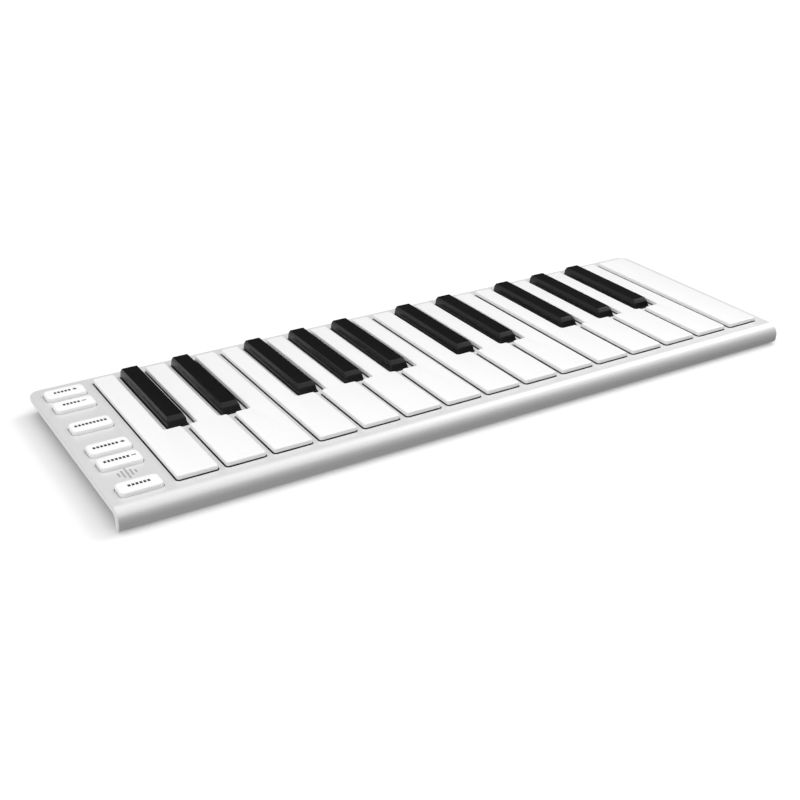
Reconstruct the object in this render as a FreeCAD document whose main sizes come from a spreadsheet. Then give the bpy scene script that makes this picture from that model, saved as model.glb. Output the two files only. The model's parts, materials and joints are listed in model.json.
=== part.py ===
import FreeCAD, Part

import math
import os

import Sketcher
from FreeCAD import Placement, Rotation, Vector

# Slim 25-key MIDI keyboard, millimetres.
# Origin: middle of the footprint, on the surface the feet stand on.
# +X runs along the keys from low to high notes, +Y to the back, +Z up.

SIZES = {
    # Whole body
    "body_length": 388.0,
    "body_depth": 134.6,
    "deck_top": 11.1,
    "deck_thickness": 3.3,
    # Front lip of the bent shell
    "lip_bottom": 1.0,
    "lip_bend": 6.2,
    "lip_straight": 1.0,
    "lip_tuck": 0.6,
    "tuck_round": 6.0,
    "lip_edge_round": 0.6,
    "corner_round": 6.0,
    "edge_chamfer": 0.45,
    # Key windows
    "octave_span": 165.0,
    "left_panel": 30.07,
    "window_front": 11.2,
    "window_rear": 6.1,
    "black_window_front": 59.2,
    "black_window_width": 11.1,
    "front_rib": 2.84,
    "tail_rib": 2.3,
    "window_round": 1.9,
    "black_window_round": 1.3,
    "notch_round": 0.8,
    "window_chamfer": 0.2,
    "cut_margin": 0.5,
    # Keys
    "key_gap": 0.5,
    "key_underside": 7.0,
    "key_wall": 1.5,
    "key_hollow": 3.9,
    "white_top": 13.5,
    "white_edge": 0.6,
    "white_cap_bottom": 11.4,
    "skirt_inset": 0.8,
    "skirt_wall": 1.2,
    "black_top": 16.0,
    "black_base_top": 11.0,
    "black_side_slant": 0.35,
    "black_front_slant": 1.7,
    "black_bevel_drop": 1.7,
    "black_side_bevel": 0.6,
    "black_front_bevel": 1.9,
    "black_rear_bevel": 0.9,
    "black_edge": 0.2,
    "black_round": 0.4,
    # Retaining tongue at the front of each key
    "tongue_width": 6.0,
    "tongue_reach": 1.6,
    "tongue_length": 4.0,
    "tongue_thickness": 0.8,
    "tongue_drop": 0.35,
    # Pivot at the rear of the keys
    "pivot_inset": 4.7,
    "pivot_height": 5.4,
    "rod_radius": 1.0,
    "rod_clearance": 0.05,
    "hub_radius": 1.85,
    "hub_side_gap": 0.5,
    "arm_length": 8.0,
    "arm_bottom": 4.9,
    "arm_round": 0.8,
    "arm_overlap": 0.6,
    "hollow_setback": 0.5,
    # Post under each key that works its contact
    "plunger_width": 3.0,
    "plunger_depth": 1.6,
    "plunger_bottom": 6.9,
    # Hinge rail
    "rail_front": 7.6,
    "rail_rear": 2.2,
    "rail_base": 0.8,
    "rail_top": 7.3,
    "rail_neck": 2.2,
    "rail_heel": 3.4,
    "rail_toe_height": 1.6,
    "rail_side_gap": 0.4,
    "rail_end": 1.2,
    "rod_end": 1.0,
    # Spring comb
    "comb_gap": 0.6,
    "spring_thickness": 0.3,
    "spring_width": 4.0,
    "spring_foot": 6.0,
    "spring_reach": 12.0,
    "spring_tip": 1.5,
    "spring_tip_height": 9.8,
    # Bottom cover
    "cover_bottom": 1.1,
    "cover_thickness": 1.2,
    "cover_wall": 1.0,
    "cover_end_inset": 3.3,
    "cover_rear_inset": 1.2,
    "cover_front_inset": 4.2,
    "cover_round": 2.0,
    # Standoffs and screws
    "standoff_radius": 1.5,
    "standoff_bore": 0.85,
    "bore_spare": 0.6,
    "rib_standoff_front": 36.0,
    "rib_standoff_rear": 104.0,
    "panel_standoff_side": 29.2,
    "panel_standoff_front": 12.0,
    "panel_standoff_step": 52.0,
    "screw_radius": 0.8,
    "screw_head_radius": 1.6,
    "screw_head_height": 0.6,
    "screw_recess_radius": 1.9,
    "screw_recess_depth": 0.7,
    "screw_reach": 3.6,
    "screw_clearance": 0.2,
    "slot_length": 2.0,
    "slot_width": 0.45,
    "slot_depth": 0.35,
    # Feet
    "foot_radius": 5.0,
    "foot_round": 0.35,
    "foot_end_inset": 16.0,
    "foot_edge_inset": 13.0,
    # Buttons
    "button_width": 20.15,
    "button_depth": 10.45,
    "button_top": 13.35,
    "button_round": 2.6,
    "button_edge": 0.8,
    "button_gap": 0.35,
    "button_centre": 15.78,
    "button_first_row": 15.35,
    "button_pair_step": 15.05,
    "button_step": 25.48,
    "flange_reach": 0.9,
    "flange_bottom": 6.8,
    "flange_thickness": 0.7,
    # Boards
    "board_bottom": 3.0,
    "board_thickness": 1.0,
    "key_board_front": 52.0,
    "key_board_depth": 57.0,
    "key_board_inset": 3.0,
    "button_board_width": 22.4,
    "button_board_front": 8.0,
    "button_board_depth": 123.5,
    "board_edge_inset": 6.6,
    "pad_width": 8.0,
    "pad_inset": 8.0,
    "button_pad_inset": 2.0,
    "button_pad_front": 12.0,
    "button_pad_step": 48.0,
    "standoff_room": 0.6,
    # Contact strip
    "strip_width": 9.0,
    "strip_thickness": 0.7,
    "strip_inset": 78.0,
    "dome_radius": 2.6,
    "dome_height": 0.6,
    # Stop felts
    "white_felt_front": 13.0,
    "white_felt_depth": 8.0,
    "white_felt_thickness": 1.7,
    "black_felt_front": 60.5,
    "black_felt_depth": 5.0,
    "black_felt_thickness": 0.5,
    "felt_inset": 3.0,
    # Button switches
    "switch_side": 5.2,
    "switch_height": 1.5,
    "switch_round": 0.3,
    "switch_stem_radius": 1.2,
    "switch_stem_height": 0.4,
    # Controller chip
    "chip_side": 7.0,
    "chip_thickness": 0.9,
    "chip_setback": 8.0,
    # Ribbon between the boards
    "ribbon_width": 9.0,
    "ribbon_thickness": 0.3,
    "ribbon_lap": 4.0,
    "ribbon_front": 88.0,
    # USB socket
    "usb_width": 7.6,
    "usb_height": 2.7,
    "usb_depth": 4.4,
    "usb_wall": 0.3,
    "usb_round": 0.6,
    "usb_cavity_round": 0.4,
    "usb_recess": 0.2,
    "usb_opening_gap": 0.25,
    "usb_opening_round": 0.8,
    "tongue_plate_width": 4.4,
    "tongue_plate_height": 0.6,
    "tongue_plate_length": 3.4,
}

WHITE_LETTERS = "CDEFGAB"
SHARP_LETTERS = "CDFGA"
WHITE_COUNT = 15
ROW_LENGTH = "15 * Sizes.octave_span / 7"
BUTTONS = ("sustain", "pitch_down", "pitch_up", "modulation", "octave_down", "octave_up")
PAIRED_BUTTONS = ("pitch_up", "octave_up")

doc = FreeCAD.newDocument("midi_keyboard")
sheet = doc.addObject("Spreadsheet::Sheet", "Sizes")
for row, (alias, value) in enumerate(SIZES.items(), start=1):
    sheet.set(f"A{row}", alias)
    sheet.set(f"B{row}", str(value))
    sheet.setAlias(f"B{row}", alias)
doc.recompute()

nodes = []


def size(alias):
    """One driving dimension, read from the sheet."""
    return float(sheet.get(alias))


# ---------------------------------------------------------------- document helpers


def new_body(label):
    """A body that becomes one part file named after its label."""
    body = doc.addObject("PartDesign::Body", label)
    body.Label = label
    body.AllowCompound = True
    nodes.append(body)
    return body


def new_sketch(body, name, role="XY_Plane", offset="0"):
    """A sketch on one of the body's own planes, moved off it by a sheet expression."""
    sketch = body.newObject("Sketcher::SketchObject", f"{body.Name}_{name}")
    plane = next(feature for feature in body.Origin.OriginFeatures if feature.Role == role)
    sketch.AttachmentSupport = [(plane, "")]
    sketch.MapMode = "FlatFace"
    sketch.setExpression("AttachmentOffset.Base.z", offset)
    return sketch


def pad(sketch, length, midplane=False, backwards=False):
    """Extrude a sketch by a sheet expression."""
    body = sketch.getParentGeoFeatureGroup()
    feature = body.newObject("PartDesign::Pad", f"{sketch.Name}_pad")
    feature.Profile = sketch
    feature.setExpression("Length", length)
    feature.Midplane = midplane
    feature.Reversed = backwards
    return feature


def pocket(sketch, depth, along_normal):
    """Cut a sketch into its body by a sheet expression and check that it removed material."""
    body = sketch.getParentGeoFeatureGroup()
    doc.recompute()
    volume_before = body.Shape.Volume
    feature = body.newObject("PartDesign::Pocket", f"{sketch.Name}_pocket")
    feature.Profile = sketch
    feature.setExpression("Length", depth)
    feature.Reversed = along_normal
    doc.recompute()
    if body.Shape.Volume > volume_before - 1e-6:
        raise RuntimeError(f"{feature.Name} cuts nothing")
    return feature


def dress(body, kind, name, amount, chosen):
    """Fillet or chamfer the tip's edges that the test picks."""
    doc.recompute()
    base = body.Tip
    names = [f"Edge{i}" for i, edge in enumerate(base.Shape.Edges, start=1) if chosen(edge)]
    if not names:
        raise RuntimeError(f"{body.Label} has no edges for {name}")
    feature = body.newObject(f"PartDesign::{kind}", f"{body.Name}_{name}")
    feature.Base = (base, names)
    feature.setExpression("Radius" if kind == "Fillet" else "Size", amount)
    return feature


def flat_at(edge, height):
    """True for an edge that lies level at a height."""
    box = edge.BoundBox
    return abs(box.ZMin - height) < 1e-4 and abs(box.ZMax - height) < 1e-4


# ---------------------------------------------------------------- sketch helpers


def join_corners(sketch, first, count):
    """Tie the ends of consecutive edges together, so the outline stays closed."""
    for step in range(count):
        here = first + step
        following = first + (step + 1) % count
        sketch.addConstraint(Sketcher.Constraint("Coincident", here, 2, following, 1))


def draw_outline(sketch, points, radii=None):
    """A closed outline through the points, each corner rounded by its own radius."""
    corners = [Vector(x, y, 0) for x, y in points]
    radii = radii or [0.0] * len(corners)
    starts, arcs, ends = [], [], []
    for index, corner in enumerate(corners):
        before = (corners[index - 1] - corner).normalize()
        after = (corners[(index + 1) % len(corners)] - corner).normalize()
        radius = radii[index]
        if radius == 0.0:
            starts.append(corner)
            arcs.append(None)
            ends.append(corner)
            continue
        half_turn = before.getAngle(after) / 2
        setback = radius / math.tan(half_turn)
        middle = (before + after).normalize()
        centre = corner + middle * (radius / math.sin(half_turn))
        starts.append(corner + before * setback)
        arcs.append(centre - middle * radius)
        ends.append(corner + after * setback)
    edges = []
    for index in range(len(corners)):
        if arcs[index] is not None:
            edges.append(Part.ArcOfCircle(starts[index], arcs[index], ends[index]))
        edges.append(Part.LineSegment(ends[index], starts[(index + 1) % len(corners)]))
    sketch.addGeometry(edges, False)


def draw_rectangle(sketch, left, front, width, depth, radius=0.0):
    """A rectangle by its left front corner."""
    right = left + width
    back = front + depth
    points = [(left, front), (right, front), (right, back), (left, back)]
    draw_outline(sketch, points, [radius] * 4)


def draw_bound_rectangle(sketch, left, front, width, depth):
    """A rectangle whose width and depth follow sheet expressions."""
    across = sheet.evalExpression(width)
    along = sheet.evalExpression(depth)
    corners = [
        Vector(left, front, 0),
        Vector(left + across, front, 0),
        Vector(left + across, front + along, 0),
        Vector(left, front + along, 0),
    ]
    first = sketch.GeometryCount
    sides = [Part.LineSegment(corners[i], corners[(i + 1) % 4]) for i in range(4)]
    sketch.addGeometry(sides, False)
    join_corners(sketch, first, 4)
    for side, direction in enumerate(("Horizontal", "Vertical", "Horizontal", "Vertical")):
        sketch.addConstraint(Sketcher.Constraint(direction, first + side))
    sketch.addConstraint(Sketcher.Constraint("DistanceX", -1, 1, first, 1, left))
    sketch.addConstraint(Sketcher.Constraint("DistanceY", -1, 1, first, 1, front))
    wide = sketch.addConstraint(Sketcher.Constraint("DistanceX", first, 1, first, 2, across))
    deep = sketch.addConstraint(Sketcher.Constraint("DistanceY", first + 1, 1, first + 1, 2, along))
    sketch.setExpression(f"Constraints[{wide}]", width)
    sketch.setExpression(f"Constraints[{deep}]", depth)


def draw_circles(sketch, centres, radius):
    """Equal circles whose radius follows a sheet expression."""
    first = sketch.GeometryCount
    value = sheet.evalExpression(radius)
    for index, (x, y) in enumerate(centres):
        sketch.addGeometry(Part.Circle(Vector(x, y, 0), Vector(0, 0, 1), value), False)
        if index == 0:
            bound = sketch.addConstraint(Sketcher.Constraint("Radius", first, value))
            sketch.setExpression(f"Constraints[{bound}]", radius)
        else:
            sketch.addConstraint(Sketcher.Constraint("Equal", first, first + index))


# ---------------------------------------------------------------- layout of the keys

LEFT = -size("body_length") / 2
RIGHT = size("body_length") / 2
FRONT = -size("body_depth") / 2
REAR = size("body_depth") / 2
DECK_UNDERSIDE = size("deck_top") - size("deck_thickness")
PITCH = size("octave_span") / len(WHITE_LETTERS)
KEYS_LEFT = LEFT + size("left_panel")
KEYS_RIGHT = KEYS_LEFT + WHITE_COUNT * PITCH
WINDOW_FRONT = FRONT + size("window_front")
WINDOW_REAR = REAR - size("window_rear")
BLACK_FRONT = FRONT + size("black_window_front")
NOTCH = BLACK_FRONT - size("tail_rib")
PIVOT_Y = REAR - size("pivot_inset")
PIVOT_Z = size("pivot_height")
HOLLOW_REAR = PIVOT_Y - size("arm_length") - size("hollow_setback")
CONTACT_ROW = FRONT + size("strip_inset") + size("strip_width") / 2


def group_layout(first_slot, white_count):
    """White tails and black windows of one run of keys, as (left, right) pairs.

    All tails of a run are equally wide, which is what sets each black key off its boundary.
    """
    black_width = size("black_window_width")
    rib = size("tail_rib")
    left = KEYS_LEFT + first_slot * PITCH + size("front_rib") / 2
    span = white_count * PITCH - size("front_rib")
    tail = (span - (white_count - 1) * (black_width + 2 * rib)) / white_count
    step = tail + black_width + 2 * rib
    tails = [(left + i * step, left + i * step + tail) for i in range(white_count)]
    blacks = [(end + rib, end + rib + black_width) for _, end in tails[:-1]]
    return tails, blacks


def keyboard_layout():
    """Every white key's tail and every black key's window, from left to right."""
    tails = []
    blacks = []
    slot = 0
    for white_count in (3, 4, 3, 4, 1):
        group_tails, group_blacks = group_layout(slot, white_count)
        tails += group_tails
        blacks += group_blacks
        slot += white_count
    return tails, blacks


TAILS, BLACKS = keyboard_layout()


def white_name(slot):
    return f"{WHITE_LETTERS[slot % 7].lower()}{slot // 7 + 1}_white_key"


def black_name(index):
    return f"{SHARP_LETTERS[index % 5].lower()}_sharp{index // 5 + 1}_black_key"


def white_outline(slot, inset):
    """Corner points and corner radii of a white key's window, or of the key inside it."""
    left = KEYS_LEFT + slot * PITCH + size("front_rib") / 2 + inset
    right = KEYS_LEFT + (slot + 1) * PITCH - size("front_rib") / 2 - inset
    tail_left = TAILS[slot][0] + inset
    tail_right = TAILS[slot][1] - inset
    front = WINDOW_FRONT + inset
    notch = NOTCH - inset
    rear = WINDOW_REAR - inset
    outside = size("window_round") - inset
    inside = size("notch_round") + inset
    points = [(left, front), (right, front)]
    radii = [outside, outside]
    if right - tail_right > 1.0:
        points += [(right, notch), (tail_right, notch)]
        radii += [outside, inside]
    points += [(tail_right, rear), (tail_left, rear)]
    radii += [outside, outside]
    if tail_left - left > 1.0:
        points += [(tail_left, notch), (left, notch)]
        radii += [inside, outside]
    return points, radii


def black_outline(index, inset):
    """Left front corner, width and depth of a black key's window, or of the key inside it."""
    left, right = BLACKS[index]
    depth = WINDOW_REAR - BLACK_FRONT - 2 * inset
    return left + inset, BLACK_FRONT + inset, right - left - 2 * inset, depth


def button_rows():
    """Front edge of every button, from the front to the back."""
    fronts = []
    front = FRONT + size("button_first_row") - size("button_depth") / 2
    for name in BUTTONS:
        if fronts:
            front += size("button_pair_step") if name in PAIRED_BUTTONS else size("button_step")
        fronts.append(front)
    return dict(zip(BUTTONS, fronts))


BUTTON_FRONTS = button_rows()
BUTTON_X = LEFT + size("button_centre")

# The standoffs stand under the full-length ribs and in the panel left of the keys.
RIB_BOUNDARIES = (3, 7, 10, 14)


def standoff_places():
    rib_rows = (FRONT + size("rib_standoff_front"), FRONT + size("rib_standoff_rear"))
    ribs = [(KEYS_LEFT + i * PITCH, y) for i in RIB_BOUNDARIES for y in rib_rows]
    panel_x = LEFT + size("panel_standoff_side")
    panel_front = FRONT + size("panel_standoff_front")
    panel = [(panel_x, panel_front + row * size("panel_standoff_step")) for row in range(3)]
    return ribs + panel


STANDOFFS = standoff_places()


# ---------------------------------------------------------------- shell, cover and feet


def build_top_shell():
    """Deck and front lip, bent from one plate, with a window for every key and button."""
    body = new_body("top_shell")
    profile = new_sketch(body, "profile", "YZ_Plane")
    top = size("deck_top")
    thickness = size("deck_thickness")
    bend = size("lip_bend")
    bottom = size("lip_bottom")
    tuck = size("lip_tuck")
    tuck_height = top - bend - size("lip_straight")
    points = [
        (FRONT + tuck, bottom),
        (FRONT, tuck_height),
        (FRONT, top),
        (REAR, top),
        (REAR, top - thickness),
        (FRONT + thickness, top - thickness),
        (FRONT + thickness, tuck_height),
        (FRONT + tuck + thickness, bottom),
    ]
    lip_round = size("lip_edge_round")
    soft = size("tuck_round")
    draw_outline(profile, points, [lip_round, soft, bend, 0, 0, bend - thickness, soft, lip_round])
    pad(profile, "Sizes.body_length", midplane=True)
    dress(body, "Fillet", "rear_corners", "Sizes.corner_round", is_rear_corner)
    dress(body, "Chamfer", "rim", "Sizes.edge_chamfer", is_shell_rim)
    windows = new_sketch(body, "windows", offset="Sizes.deck_top")
    for slot in range(WHITE_COUNT):
        draw_outline(windows, *white_outline(slot, 0.0))
    for index in range(len(BLACKS)):
        draw_rectangle(windows, *black_outline(index, 0.0), radius=size("black_window_round"))
    gap = size("button_gap")
    for front in BUTTON_FRONTS.values():
        width = size("button_width") + 2 * gap
        depth = size("button_depth") + 2 * gap
        radius = size("button_round") + gap
        draw_rectangle(windows, BUTTON_X - width / 2, front - gap, width, depth, radius)
    pocket(windows, "Sizes.deck_thickness + Sizes.cut_margin", along_normal=False)
    dress(body, "Chamfer", "window_rims", "Sizes.window_chamfer", is_window_rim)


def is_rear_corner(edge):
    """The shell's two upright edges at its rear corners."""
    box = edge.BoundBox
    upright = box.ZLength > 1.0 and box.XLength < 1e-4 and box.YLength < 1e-4
    return upright and abs(box.YMin - REAR) < 1e-4


def is_shell_rim(edge):
    """Edges round the outside of the shell: both ends, the rear corners and the rear edge."""
    box = edge.BoundBox
    middle = edge.valueAt((edge.FirstParameter + edge.LastParameter) / 2)
    on_end = box.XLength < 1e-4 and abs(abs(middle.x) - RIGHT) < 1e-4
    on_rear = box.YLength < 1e-4 and abs(middle.y - REAR) < 1e-4
    reach = size("corner_round")
    on_corner = abs(middle.x) > RIGHT - reach and middle.y > REAR - reach
    upright = box.XLength < 1e-4 and box.YLength < 1e-4 and middle.y > 0
    return (on_end or on_rear or on_corner) and not upright


def is_window_rim(edge):
    """Edges round the windows on the deck's upper face."""
    middle = edge.valueAt((edge.FirstParameter + edge.LastParameter) / 2)
    margin = 2.0
    inside_ends = abs(middle.x) < RIGHT - margin
    inside_depth = FRONT + size("lip_bend") + margin < middle.y < REAR - margin
    return flat_at(edge, size("deck_top")) and inside_ends and inside_depth


def build_bottom_cover():
    """Thin tray: floor, two end walls and a rear wall, screwed up into the standoffs."""
    body = new_body("bottom_cover")
    left = LEFT + size("cover_end_inset")
    right = RIGHT - size("cover_end_inset")
    front = FRONT + size("cover_front_inset")
    rear = REAR - size("cover_rear_inset")
    wall = size("cover_wall")
    floor = new_sketch(body, "floor", offset="Sizes.cover_bottom")
    corner = size("cover_round")
    outline = [(left, front), (right, front), (right, rear), (left, rear)]
    draw_outline(floor, outline, [0, 0, corner, corner])
    pad(floor, "Sizes.cover_thickness")
    walls = new_sketch(body, "walls", offset="Sizes.cover_bottom")
    wall_front = front + size("deck_thickness")
    path = [
        (left, wall_front),
        (left + wall, wall_front),
        (left + wall, rear - wall),
        (right - wall, rear - wall),
        (right - wall, wall_front),
        (right, wall_front),
        (right, rear),
        (left, rear),
    ]
    draw_outline(walls, path, [0, 0, corner - wall, corner - wall, 0, 0, corner, corner])
    pad(walls, "Sizes.deck_top - Sizes.deck_thickness - Sizes.cover_bottom")
    holes = new_sketch(body, "screw_holes", offset="Sizes.cover_bottom")
    draw_circles(holes, STANDOFFS, "Sizes.screw_radius + Sizes.screw_clearance")
    pocket(holes, "Sizes.cover_thickness", along_normal=True)
    recesses = new_sketch(body, "screw_recesses", offset="Sizes.cover_bottom")
    draw_circles(recesses, STANDOFFS, "Sizes.screw_recess_radius")
    pocket(recesses, "Sizes.screw_recess_depth", along_normal=True)
    opening = new_sketch(body, "usb_opening", "XZ_Plane", offset=f"{-rear}")
    gap = size("usb_opening_gap")
    bottom = size("board_bottom") + size("board_thickness") - gap
    width = size("usb_width") + 2 * gap
    height = size("usb_height") + 2 * gap
    opening_round = size("usb_opening_round")
    draw_rectangle(opening, BUTTON_X - width / 2, bottom, width, height, opening_round)
    pocket(opening, "Sizes.cover_wall + Sizes.cut_margin", along_normal=True)


def build_feet():
    """Round rubber feet stuck under the cover."""
    body = new_body("rubber_feet")
    sketch = new_sketch(body, "discs")
    x = RIGHT - size("foot_end_inset")
    y = REAR - size("foot_edge_inset")
    draw_circles(sketch, [(-x, -y), (x, -y), (-x, y), (x, y), (0, -y), (0, y)], "Sizes.foot_radius")
    pad(sketch, "Sizes.cover_bottom")
    dress(body, "Fillet", "rounded", "Sizes.foot_round", lambda edge: flat_at(edge, 0))


def build_standoffs():
    """Threaded pillars fixed to the shell's underside, which take the cover screws."""
    body = new_body("shell_standoffs")
    sketch = new_sketch(body, "pillars", offset="Sizes.cover_bottom + Sizes.cover_thickness")
    draw_circles(sketch, STANDOFFS, "Sizes.standoff_radius")
    length = "Sizes.deck_top - Sizes.deck_thickness - Sizes.cover_bottom - Sizes.cover_thickness"
    pad(sketch, length)
    bores = new_sketch(body, "bores", offset="Sizes.cover_bottom + Sizes.cover_thickness")
    draw_circles(bores, STANDOFFS, "Sizes.standoff_bore")
    pocket(bores, "Sizes.screw_reach + Sizes.bore_spare", along_normal=True)


def add_slots(body, name, places, bottom):
    """Cut a cross recess into the underside of every screw head."""
    for direction in ("across", "along"):
        sketch = new_sketch(body, f"{name}_{direction}", offset=bottom)
        long_side = size("slot_length")
        short_side = size("slot_width")
        width, depth = (long_side, short_side) if direction == "across" else (short_side, long_side)
        for x, y in places:
            draw_rectangle(sketch, x - width / 2, y - depth / 2, width, depth)
        pocket(sketch, "Sizes.slot_depth", along_normal=True)


def build_cover_screws():
    """Flat-headed screws, sunk in the cover's underside."""
    body = new_body("cover_screws")
    seat = "Sizes.cover_bottom + Sizes.screw_recess_depth"
    heads = new_sketch(body, "heads", offset=f"{seat} - Sizes.screw_head_height")
    draw_circles(heads, STANDOFFS, "Sizes.screw_head_radius")
    pad(heads, "Sizes.screw_head_height")
    shanks = new_sketch(body, "shanks", offset=seat)
    draw_circles(shanks, STANDOFFS, "Sizes.screw_radius")
    pad(shanks, "Sizes.screw_reach")
    add_slots(body, "cross", STANDOFFS, f"{seat} - Sizes.screw_head_height")


# ---------------------------------------------------------------- keys


def add_arm(body, left, right):
    """Arm and hub at the rear of a key, bored for the pivot rod."""
    middle = (left + right) / 2
    width = right - left - 2 * size("hub_side_gap")
    profile = new_sketch(body, "arm", "YZ_Plane", offset=f"{middle}")
    hub = size("hub_radius")
    bottom = size("arm_bottom")
    under_key = size("key_underside") + size("arm_overlap")
    front = PIVOT_Y - size("arm_length")
    points = [
        (front, bottom),
        (PIVOT_Y - hub, PIVOT_Z - hub),
        (PIVOT_Y + hub, PIVOT_Z - hub),
        (PIVOT_Y + hub, PIVOT_Z + hub),
        (WINDOW_REAR - size("key_gap"), PIVOT_Z + hub),
        (WINDOW_REAR - size("key_gap"), under_key),
        (front, under_key),
    ]
    hub_round = 0.97 * hub
    draw_outline(profile, points, [0, size("arm_round"), hub_round, hub_round, 0, 0, 0])
    draw_circles(profile, [(PIVOT_Y, PIVOT_Z)], "Sizes.rod_radius + Sizes.rod_clearance")
    pad(profile, f"{width}", midplane=True)


def add_tongue(body, left, right, front):
    """Tongue under the deck's edge that stops the key from lifting out of its window."""
    width = size("tongue_width")
    sketch = new_sketch(body, "tongue", offset="Sizes.key_underside - Sizes.tongue_drop")
    middle = (left + right) / 2
    tongue_front = front - size("tongue_reach")
    draw_rectangle(sketch, middle - width / 2, tongue_front, width, size("tongue_length"))
    pad(sketch, "Sizes.tongue_thickness")


def add_plunger(body, left, right):
    """Post inside the hollow that works the contact dome below the key."""
    width = size("plunger_width")
    depth = size("plunger_depth")
    sketch = new_sketch(body, "plunger", offset="Sizes.plunger_bottom")
    draw_rectangle(sketch, (left + right - width) / 2, CONTACT_ROW - depth / 2, width, depth)
    pad(sketch, "Sizes.key_underside + Sizes.key_hollow - Sizes.plunger_bottom + Sizes.arm_overlap")


def add_loft(body, name, lower, upper):
    """Straight-sided solid between two sketches."""
    loft = body.newObject("PartDesign::AdditiveLoft", f"{body.Name}_{name}")
    loft.Profile = lower
    loft.Sections = [upper]
    loft.Ruled = True


def build_white_key(slot):
    """White key: rounded cap over a narrower hollow skirt, with an arm to the pivot rod."""
    body = new_body(white_name(slot))
    cap = new_sketch(body, "cap", offset="Sizes.white_cap_bottom")
    points, radii = white_outline(slot, size("key_gap"))
    draw_outline(cap, points, radii)
    pad(cap, "Sizes.white_top - Sizes.white_cap_bottom")
    top = size("white_top")
    dress(body, "Fillet", "top_edge", "Sizes.white_edge", lambda edge: flat_at(edge, top))
    skirt = new_sketch(body, "skirt", offset="Sizes.key_underside")
    skirt_side = size("key_gap") + size("skirt_inset")
    draw_outline(skirt, *white_outline(slot, skirt_side))
    pad(skirt, "Sizes.white_cap_bottom - Sizes.key_underside")
    hollow = new_sketch(body, "hollow", offset="Sizes.key_underside")
    inner_points, _ = white_outline(slot, skirt_side + size("skirt_wall"))
    rear = max(y for _, y in inner_points)
    shortened = [(x, HOLLOW_REAR if y == rear else y) for x, y in inner_points]
    draw_outline(hollow, shortened)
    pocket(hollow, "Sizes.key_hollow", along_normal=True)
    left, right = TAILS[slot]
    gap = size("key_gap")
    add_plunger(body, left, right)
    add_arm(body, left + gap, right - gap)
    add_tongue(body, points[0][0], points[1][0], points[0][1])


def build_black_key(index):
    """Black key: sides that slant in above the deck to a bevelled top, hollow underneath."""
    body = new_body(black_name(index))
    left, front, width, depth = black_outline(index, size("key_gap"))
    corner = size("black_round")
    cap = new_sketch(body, "cap", offset="Sizes.key_underside")
    draw_rectangle(cap, left, front, width, depth, corner)
    pad(cap, "Sizes.black_base_top - Sizes.key_underside")
    side = size("black_side_slant")
    nose = size("black_front_slant")
    base = new_sketch(body, "base", offset="Sizes.black_base_top")
    draw_rectangle(base, left, front, width, depth, corner)
    shoulder = new_sketch(body, "shoulder", offset="Sizes.black_top - Sizes.black_bevel_drop")
    draw_rectangle(shoulder, left + side, front + nose, width - 2 * side, depth - nose - side, corner)
    side += size("black_side_bevel")
    nose += size("black_front_bevel")
    heel = size("black_side_slant") + size("black_rear_bevel")
    crown = new_sketch(body, "crown", offset="Sizes.black_top")
    draw_rectangle(crown, left + side, front + nose, width - 2 * side, depth - nose - heel, corner)
    add_loft(body, "slant", base, shoulder)
    add_loft(body, "bevel", shoulder, crown)
    top = size("black_top")
    dress(body, "Fillet", "top_edge", "Sizes.black_edge", lambda edge: flat_at(edge, top))
    hollow = new_sketch(body, "hollow", offset="Sizes.key_underside")
    wall = size("key_wall")
    inner_depth = HOLLOW_REAR - front - wall
    draw_rectangle(hollow, left + wall, front + wall, width - 2 * wall, inner_depth)
    pocket(hollow, "Sizes.key_hollow", along_normal=True)
    add_plunger(body, left, left + width)
    add_arm(body, left, left + width)
    add_tongue(body, left, left + width, front)


# ---------------------------------------------------------------- pivot rod, rail and springs


def key_widths():
    """Left and right side of every key at its rear, from left to right."""
    gap = size("key_gap")
    return sorted((left + gap, right - gap) for left, right in TAILS + BLACKS)


def build_pivot_rod():
    """Steel rod that all keys swing on."""
    rod = doc.addObject("Part::Cylinder", "pivot_rod")
    rod.Label = "pivot_rod"
    rod.setExpression("Radius", "Sizes.rod_radius")
    first = key_widths()[0][0]
    last = key_widths()[-1][1]
    rod_end = size("rod_end")
    rod.Height = last - first + 2 * rod_end
    along_x = Rotation(Vector(0, 1, 0), 90)
    rod.Placement = Placement(Vector(first - rod_end, PIVOT_Y, PIVOT_Z), along_x)
    nodes.append(rod)


def build_hinge_rail():
    """Comb-shaped rail: a web between every two keys carries the pivot rod."""
    body = new_body("hinge_rail")
    widths = key_widths()
    left = widths[0][0] - size("rail_end")
    right = widths[-1][1] + size("rail_end")
    bottom = size("cover_bottom") + size("cover_thickness")
    front = PIVOT_Y - size("rail_front")
    rear = PIVOT_Y + size("rail_rear")
    top = size("rail_top")
    block = new_sketch(body, "block", "YZ_Plane", offset=f"{(left + right) / 2}")
    toe = bottom + size("rail_toe_height")
    points = [
        (front, bottom),
        (rear, bottom),
        (rear, top),
        (PIVOT_Y - size("rail_neck"), top),
        (PIVOT_Y - size("rail_heel"), toe),
        (front, toe),
    ]
    draw_outline(block, points, [0, 0, 1.0, 1.0, 0, 0])
    draw_circles(block, [(PIVOT_Y, PIVOT_Z)], "Sizes.rod_radius + Sizes.rod_clearance / 2")
    pad(block, f"{right - left}", midplane=True)
    rooms = new_sketch(body, "key_rooms", offset="Sizes.rail_top")
    spare = size("rail_side_gap")
    inset = size("hub_side_gap")
    for key_left, key_right in widths:
        room_left = key_left + inset - spare
        room_right = key_right - inset + spare
        draw_rectangle(rooms, room_left, front - 1.0, room_right - room_left, rear - front + 2.0)
    depth = "Sizes.rail_top - Sizes.cover_bottom - Sizes.cover_thickness - Sizes.rail_base"
    pocket(rooms, depth, along_normal=False)


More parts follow.
